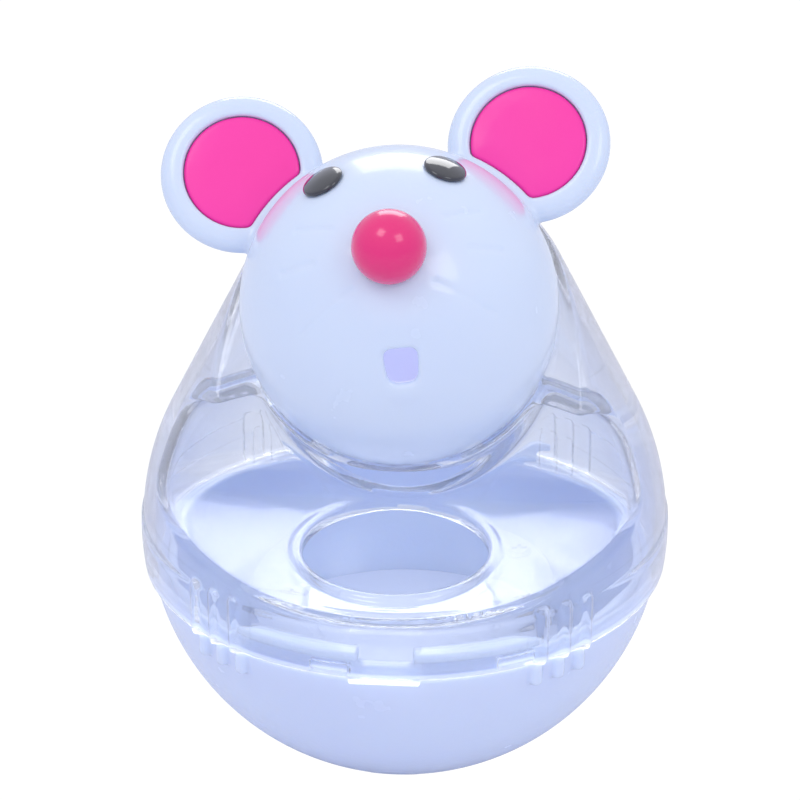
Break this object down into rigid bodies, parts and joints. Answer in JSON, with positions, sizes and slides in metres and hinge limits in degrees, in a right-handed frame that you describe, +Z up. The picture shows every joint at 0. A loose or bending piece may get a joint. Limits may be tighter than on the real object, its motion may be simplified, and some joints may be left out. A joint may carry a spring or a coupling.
{
  "type": "weighted tumbler mouse toy",
  "caption": "Round-bottomed tumbler mouse: weighted bowl, clear pear-shaped shell with a treat hole in its lap, and a turning mouse head.",
  "frame": {"origin": "centre of the flat foot on the bowl's underside", "axes": "+Z up, the mouse faces -Y, +X is the mouse's left-hand side as a viewer in front sees it on the right"},
  "size_m": [0.086, 0.086, 0.1157],
  "materials": {
    "bowl_plastic": "milky moulded plastic with a soft gloss",
    "clear_plastic": "clear moulded polystyrene, high gloss",
    "face_plastic": "white moulded plastic, high gloss",
    "ear_pink": "satin pink",
    "nose_pink": "glossy pink",
    "eye_black": "glossy black",
    "ballast_iron": "rough cast",
    "screw_steel": "zinc plated"
  },
  "bodies": {
    "base": {"bowl": "bowl_plastic", "ballast_weight": "ballast_iron", "ballast_cover": "bowl_plastic", "cover_screw_1": "screw_steel", "cover_screw_2": "screw_steel", "cover_screw_3": "screw_steel"},
    "shell": {"clear_shell": "clear_plastic"},
    "head": {"head_shell": "face_plastic", "ear_pad_left": "ear_pink", "ear_pad_right": "ear_pink", "nose": "nose_pink", "eye_left": "eye_black", "eye_right": "eye_black", "neck_retainer": "face_plastic", "neck_screw_1": "screw_steel", "neck_screw_2": "screw_steel", "neck_screw_3": "screw_steel"}
  },
  "joints": [
    {"name": "shell_twist", "type": "hinge", "parent": "base", "child": "shell", "pos_m": [0, 0, 0.035], "axis": [0, 0, 1], "range_deg": [0, 13]},
    {"name": "head_turn", "type": "hinge", "parent": "shell", "child": "head", "pos_m": [0, -0.012, 0.0844], "axis": [0, -0.7431, 0.6691], "continuous": true}
  ]
}
